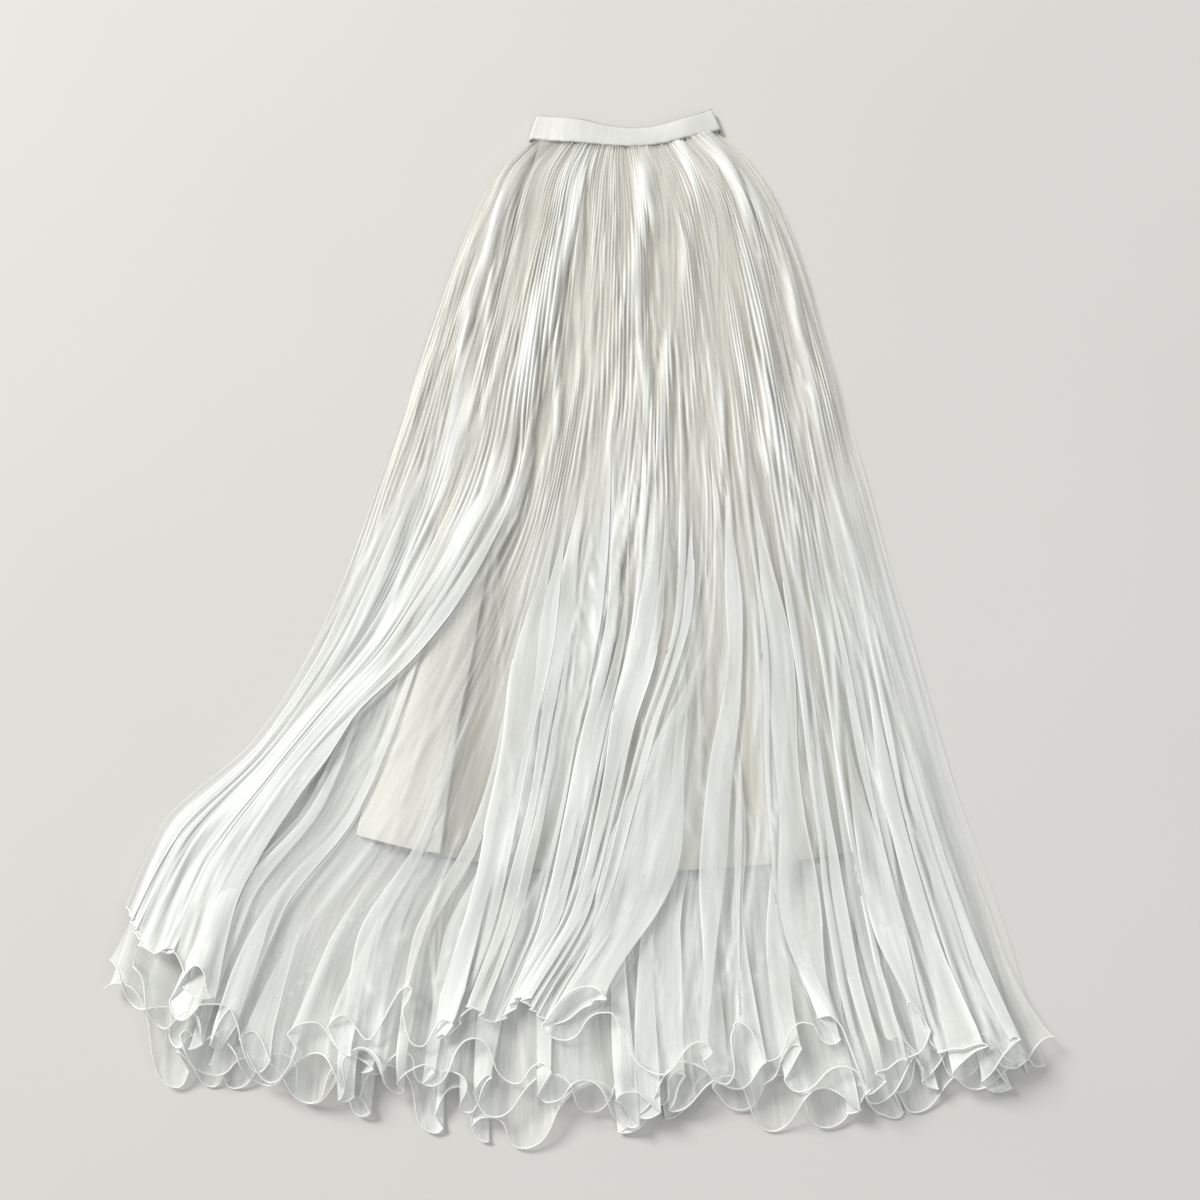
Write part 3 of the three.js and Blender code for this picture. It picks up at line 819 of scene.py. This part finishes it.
# ---- materials
class Nodes:
    """Short way to write a material's nodes."""

    def __init__(self, name):
        self.material = bpy.data.materials.new(name)
        self.material.use_nodes = True
        self.tree = self.material.node_tree
        self.shader = self.tree.nodes["Principled BSDF"]

    def add(self, kind, *values, settings=(), **inputs):
        """Node with these values at its first sockets and these inputs at named ones."""
        node = self.tree.nodes.new(kind)
        for key, value in dict(settings).items():
            setattr(node, key, value)
        for key, value in (*enumerate(values), *inputs.items()):
            self.feed(node, key, value)
        return node

    def feed(self, node, key, value):
        socket = node.inputs[key if isinstance(key, int) else key.replace("_", " ")]
        if isinstance(value, bpy.types.NodeSocket):
            self.tree.links.new(value, socket)
        else:
            socket.default_value = (*value, 1) if socket.type == "RGBA" else value

    def sum(self, operation, *values):
        return self.add("ShaderNodeMath", *values, settings={"operation": operation}).outputs[0]

    def value(self, name):
        return self.add("ShaderNodeAttribute", settings={"attribute_name": name}).outputs["Fac"]

    def place(self):
        return self.add("ShaderNodeTexCoord").outputs["Object"]

    def cloth_at(self, across, along):
        """Cloth coordinates stretched to so many repeats a metre each way."""
        uv = self.add("ShaderNodeUVMap", settings={"uv_map": "cloth"}).outputs["UV"]
        return self.add("ShaderNodeMapping", Vector=uv, Scale=(across, along, 1)).outputs["Vector"]

    def noise(self, vector, scale=1.0, detail=3.0):
        return self.add("ShaderNodeTexNoise", Vector=vector, Scale=scale, Detail=detail).outputs["Fac"]

    def mix(self, factor, *colors):
        node = self.add("ShaderNodeMix", factor, settings={"data_type": "RGBA"})
        sockets = [k for k, socket in enumerate(node.inputs) if socket.type == "RGBA"]
        for k, color in zip(sockets, colors):
            self.feed(node, k, color)
        return [socket for socket in node.outputs if socket.type == "RGBA"][0]

    def bump(self, height, strength, distance, **under):
        node = self.add("ShaderNodeBump", Height=height, Strength=strength, Distance=distance, **under)
        return node.outputs["Normal"]

    def finish(self, cover=None, **inputs):
        """Feeds the material's shader, and lets light past it where it covers less."""
        for key, value in inputs.items():
            self.feed(self.shader, key, value)
        if cover:
            clear = self.add("ShaderNodeBsdfTransparent").outputs[0]
            surface = self.add("ShaderNodeMixShader", cover, clear, self.shader.outputs[0]).outputs[0]
            self.feed(self.tree.nodes["Material Output"], "Surface", surface)
        return self.material


def tulle_material():
    """Sheer ivory net: denser where it is pleated, doubled or creased, with its fold edges drawn lighter
    as painted highlight and its troughs darker and warmer as painted shade.
    """
    n = Nodes("tulle")
    streaks = n.noise(n.cloth_at(330, 9), detail=2.0)
    bands = n.noise(n.cloth_at(48, 4), detail=2.0)
    veils = n.noise(n.cloth_at(20, 10), detail=2.0)
    # A warmer, darker tint for troughs and the pleated top and a cooler, lighter one for ridges and
    # lower down: painted shade in the troughs, painted light on the ridges.
    warm_and_shaded = n.mix(veils, (0.70, 0.682, 0.615), (0.815, 0.807, 0.755))
    cool_and_lit = n.mix(veils, (0.80, 0.828, 0.81), (0.855, 0.887, 0.873))
    cream = n.mix(bands, (0.84, 0.825, 0.765), cool_and_lit)
    plain = n.mix(n.value("cool_and_lit"), warm_and_shaded, n.mix(streaks, cream, cool_and_lit))
    # Painted highlight: the lines of the laps' folds drawn near white, on top of the denser cover that
    # they are given below.
    color = n.mix(n.value("edge"), plain, (0.93, 0.935, 0.915))
    cover = n.value("cover")
    for pattern, change in ((streaks, 0.34), (bands, 0.54), (veils, 0.52)):
        cover = n.sum("ADD", cover, n.sum("MULTIPLY_ADD", pattern, change, -change / 2))
    cover = n.sum("MULTIPLY_ADD", n.value("edge"), 0.50, cover)
    cover = n.add("ShaderNodeClamp", Value=cover, Min=0.04, Max=0.97).outputs[0]
    normal = n.bump(n.noise(n.cloth_at(900, 900), detail=0.0), 0.12, 0.0004)
    return n.finish(cover, Base_Color=color, Roughness=0.65, Normal=normal,
                    Sheen_Weight=0.2, Sheen_Roughness=0.4, Specular_IOR_Level=0.25)


def lining_material():
    n = Nodes("lining_satin")
    cloudy = n.noise(n.cloth_at(9, 5), detail=3.0)
    # Painted light and shade: a darker copy of the satin for where it lies in shade, a lighter copy for
    # its raised, lit left panel.
    shaded_satin = n.mix(cloudy, (0.37, 0.352, 0.305), (0.44, 0.42, 0.372))
    color = n.mix(n.value("cool_and_lit"), shaded_satin, (0.70, 0.687, 0.635))
    weave = n.noise(n.cloth_at(1800, 500), detail=2.0)
    normal = n.bump(weave, 0.10, 0.0003)
    rough = n.sum("MULTIPLY_ADD", weave, 0.16, 0.34)
    return n.finish(Base_Color=color, Roughness=rough, Normal=normal,
                    Sheen_Weight=0.2, Sheen_Roughness=0.35, Specular_IOR_Level=0.4)


def satin_material():
    n = Nodes("band_satin")
    cloudy = n.noise(n.cloth_at(30, 60), detail=3.0)
    color = n.mix(cloudy, (0.62, 0.618, 0.592), (0.67, 0.668, 0.64))
    weave = n.noise(n.cloth_at(700, 2600), detail=2.0)
    creased = n.bump(n.noise(n.cloth_at(55, 30), detail=3.0), 0.35, 0.003)
    normal = n.bump(weave, 0.15, 0.0003, Normal=creased)
    rough = n.sum("MULTIPLY_ADD", weave, 0.18, 0.32)
    return n.finish(Base_Color=color, Roughness=rough, Normal=normal,
                    Sheen_Weight=0.15, Sheen_Roughness=0.3, Specular_IOR_Level=0.45)


def hem_material():
    n = Nodes("rolled_hem")
    bands = n.add("ShaderNodeTexWave", settings={"wave_type": "BANDS"}, Vector=n.place(),
                  Scale=260.0, Distortion=0.6)
    twist = bands.outputs["Fac"]
    color = n.mix(twist, (0.76, 0.765, 0.74), (0.87, 0.875, 0.85))
    return n.finish(Base_Color=color, Roughness=0.35, Normal=n.bump(twist, 0.2, 0.0003),
                    Sheen_Weight=0.1, Specular_IOR_Level=0.5)


def floor_material():
    n = Nodes("floor")
    color = n.mix(n.noise(n.place(), 3.0, 2.0), (0.58, 0.567, 0.545), (0.60, 0.587, 0.565))
    return n.finish(Base_Color=color, Roughness=0.9)


# ---- the skirt
# How much more light a layer stops where it is so shaped, and then for its creases and its lip. Laps and
# the lip stop more as doubled cloth; pleats, ridges and crease lines stop more on their crests and less
# in their hollows, painted light and shade that lets the darker cloth beneath show.
MORE_COVER = {"pleats": 0.66, "grown": 0.12, "doubled": 0.44, "ridges": 0.34}
LAST_COVER = {"line": 0.34, "lip": 0.25}
PAINTED_SHADE_RIGHT = 0.18  # painted shade on the right: how much less light it stops there, so the darker lining shows, and how much more it stops at the top


def tulle_cover(shape, top, low):
    """Share of light that one layer stops: more where it is pleated, bunched or creased, and less on its
    right side and in the hollows of pleats and folds, which is painted shade.
    """
    bunched = shape["bunched"]
    relaxed = ease(shape["drop"], 280, 640)
    below_waist = 2 * ease(shape["drop"], 20, 150) - 1
    # Painted shade: less cover on the right side lets the darker lining show, for the side that the
    # light leaves dimmer.
    shaded_right = PAINTED_SHADE_RIGHT * smooth((shape["laid"] - 0.45) / 0.35) * (1 - relaxed) * below_waist
    value = top + (low - top) * relaxed - shaded_right
    value = value + sum(share * shape[key] for key, share in MORE_COVER.items())
    value = 1 - (1 - np.clip(value, 0.03, 0.95)) ** np.clip(bunched, 0.75, 1.6) ** 0.3
    value = value * np.clip(bunched, 0.35, 1) ** 0.5
    value = value + sum(share * shape[key] for key, share in LAST_COVER.items())
    return np.clip(value, 0, 1)


# The tulle panels, in the order that they are laid. gap: room under it. front: whether its sides
# turn down to side seams. cover: share of light that it stops, pleated and relaxed. cut: widths
# at its waist edge and hem, and length, in metres. fine: number of creases of either kind. inset:
# how far it stops short of the outline. ruffle: how far above the hem the flutes start, how far
# they rise, lean, spill and hang unevenly, and the least and greatest length of cloth in one.
PANELS = (
    {"node": "outer_back", "gap": 0.4, "front": False, "cover": (0.55, 0.26),
     "cut": (0.40, 1.12, 1.02), "on": [],
     "shape": {"hem": HEM_OUTER_BACK, "laps": LAPS_BACK, "folds": FOLDS_BACK, "seed": 11,
               "columns": 620, "rows": 96, "pleat": 1.0, "fine": 90},
     "ruffle": {"depth": 110, "rise": 14, "lean": 12, "spill": 12, "uneven": 13, "waves": (40, 120)}},
    {"node": "under_back", "gap": 0.5, "front": False, "cover": (0.40, 0.20),
     "cut": (0.36, 0.98, 1.00), "on": ["outer_back_tulle"],
     "shape": {"hem": HEM_UNDER_BACK, "laps": LAPS_BACK[::2], "seed": 23, "inset": 5,
               "columns": 560, "rows": 84, "pleat": 0.6, "fine": 60},
     "ruffle": {"depth": 100, "rise": 12, "lean": 12, "spill": 12, "uneven": 14, "waves": (38, 104)}},
    {"node": "under_front", "gap": 0.5, "front": True, "cover": (0.15, 0.12),
     "cut": (0.36, 1.08, 0.98), "on": ["lining_front_satin"],
     "shape": {"hem": HEM_UNDER_FRONT, "laps": LAPS_UNDER_FRONT, "seed": 37, "inset": 5,
               "columns": 620, "rows": 100, "pleat": 0.6, "fine": 80},
     "ruffle": {"depth": 110, "rise": 14, "lean": 12, "spill": 13, "uneven": 14, "waves": (40, 112)}},
    {"node": "outer_front", "gap": 0.6, "front": True, "cover": (0.42, 0.11),
     "cut": (0.44, 1.52, 0.96), "on": ["under_front_tulle"],
     "shape": {"hem": HEM_OUTER_FRONT, "laps": LAPS_OUTER_FRONT, "folds": FOLDS_FRONT, "seed": 53,
               "columns": 800, "rows": 124, "pleat": 2.3, "fine": 280, "swept": True},
     "ruffle": {"depth": 120, "rise": 17, "lean": 13, "spill": 14, "uneven": 12, "waves": (44, 126)}},
)
HEM_RADIUS = 0.8  # of the rolled hem's cord


def dress(thing, material, slot, *nodes):
    """Material and node of a piece that rides on the skirt's one body; its slot is not used."""
    thing.data.materials.append(material)
    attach(thing, "root")
    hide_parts(*nodes)


def make_hem(node, points, material):
    line = rounded(points[-1], 3)
    line[:, 2] = np.maximum(line[:, 2], HEM_RADIUS * MM)
    path, faces = tube(line, HEM_RADIUS * MM)
    hem = mesh_object(node + "_rolled_hem", path, faces)
    dress(hem, material, "hem_edge", "hem_" + node)
    return hem


def make_tulle(panel, pile, material, hem_finish):
    shape = tulle_shape(**panel["shape"], ruffle=panel["ruffle"])
    cover = tulle_cover(shape, *panel["cover"])
    thing, points = lay_panel(panel["node"] + "_tulle", shape, pile, panel["gap"], panel["front"], cover)
    dress(thing, material, "tulle", panel["node"])
    hem = make_hem(panel["node"], points, hem_finish)


def make_lining(node, laps, pile, material):
    shape = lining_shape(laps)
    cover = np.ones(shape["drop"].shape)
    thing, _ = lay_panel(node + "_satin", shape, pile, LINING_GAP, False, cover)
    dress(thing, material, "lining", node)


def make_skirt():
    tulle, lining, hem_finish = tulle_material(), lining_material(), hem_material()
    pile = Pile()
    for panel in PANELS[:2]:
        make_tulle(panel, pile, tulle, hem_finish)
    make_lining("lining_back", (), pile, lining)
    make_lining("lining_front", LINING_LAPS, pile, lining)
    for panel in PANELS[2:]:
        make_tulle(panel, pile, tulle, hem_finish)
    band = make_waistband(pile)
    dress(band, satin_material(), "satin", "waistband")


# ---- stage
CAMERA_TILT = 75  # degrees above the floor
CAMERA_REACH = 1.25  # metres from the camera to the point that it looks at
CAMERA_LENS = 36  # millimetres
CAMERA_SENSOR = 36
CAMERA_AIM = (-29, 537)  # that point: x from the band's middle, and drop
FLOOR_HALF = 4  # metres
LIGHTS = (  # name, place and size in metres, power in watts, colour
    ("window", (-4.8, 3.8, 4.9), 2.8, 640, (1.0, 0.985, 0.95)),
    ("fill", (3.4, -2.4, 4.4), 3.0, 70, (0.96, 0.98, 1.0)),
)
ROOM_COLOR = (0.96, 0.975, 1.0, 1)
ROOM_STRENGTH = 0.46
CLEAR_LAYERS = 20  # layers of net that a ray of light may pass


def point_at(thing, place, aim):
    thing.location = place
    thing.rotation_euler = (Vector(aim) - Vector(place)).to_track_quat("-Z", "Y").to_euler()


def make_light(name, place, size, power, color):
    light = bpy.data.lights.new(name, "AREA")
    light.shape = "DISK"
    light.size = size
    light.energy = power
    light.color = color
    point_at(new_object(name, light), place, (0, 0, 0))


def make_floor():
    sides = ((-1, -1), (1, -1), (1, 1), (-1, 1))
    corners = [(FLOOR_HALF * x, FLOOR_HALF * y, 0) for x, y in sides]
    floor = mesh_object("floor", corners, [(0, 1, 2, 3)])
    floor.data.materials.append(floor_material())


def make_camera():
    aim = to_frame(*CAMERA_AIM, 0)
    tilt = math.radians(CAMERA_TILT)
    place = (aim[0], aim[1] - CAMERA_REACH * math.cos(tilt), CAMERA_REACH * math.sin(tilt))
    camera = new_object("camera", bpy.data.cameras.new("camera"))
    camera.data.lens = CAMERA_LENS
    camera.data.sensor_width = CAMERA_SENSOR
    point_at(camera, place, aim)
    bpy.context.scene.camera = camera


def make_room():
    world = bpy.data.worlds.new("room")
    world.use_nodes = True
    background = world.node_tree.nodes["Background"].inputs
    background["Color"].default_value = ROOM_COLOR
    background["Strength"].default_value = ROOM_STRENGTH
    scene = bpy.context.scene
    scene.world = world
    scene.view_settings.view_transform = "Standard"
    scene.cycles.transparent_max_bounces = CLEAR_LAYERS


def make_stage():
    make_floor()
    make_camera()
    for light in LIGHTS:
        make_light(*light)
    make_room()


make_skirt()
make_stage()
